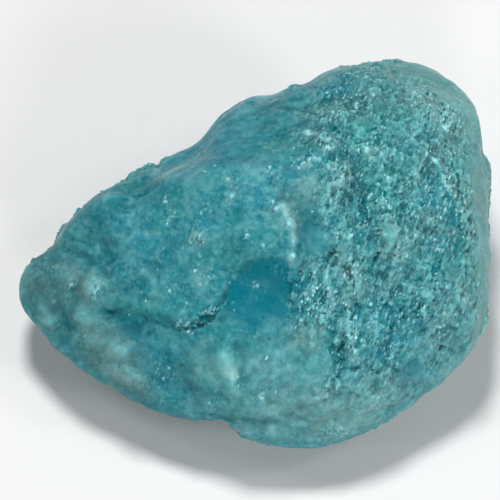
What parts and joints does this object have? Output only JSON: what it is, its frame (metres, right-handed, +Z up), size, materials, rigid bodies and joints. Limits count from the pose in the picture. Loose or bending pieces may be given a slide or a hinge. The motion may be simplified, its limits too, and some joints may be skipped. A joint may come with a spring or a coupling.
{
  "type": "raw aquamarine",
  "caption": "Rough, cloudy blue-green aquamarine, a broken lump with a blunt point, resting on a small flat under its middle.",
  "frame": {"origin": "on the surface that the stone lies on, under the middle of its bounding box", "axes": "+X from the stone's point to its blunt end, +Z up, and the broad face looks up and forward, towards -Y"},
  "size_m": [0.045, 0.0376, 0.0224],
  "materials": {
    "aquamarine": "cloudy blue-green crystal, waxy where it is smooth and glittering where it is granular"
  },
  "bodies": {
    "root": {"raw_aquamarine": "aquamarine"}
  },
  "joints": []
}
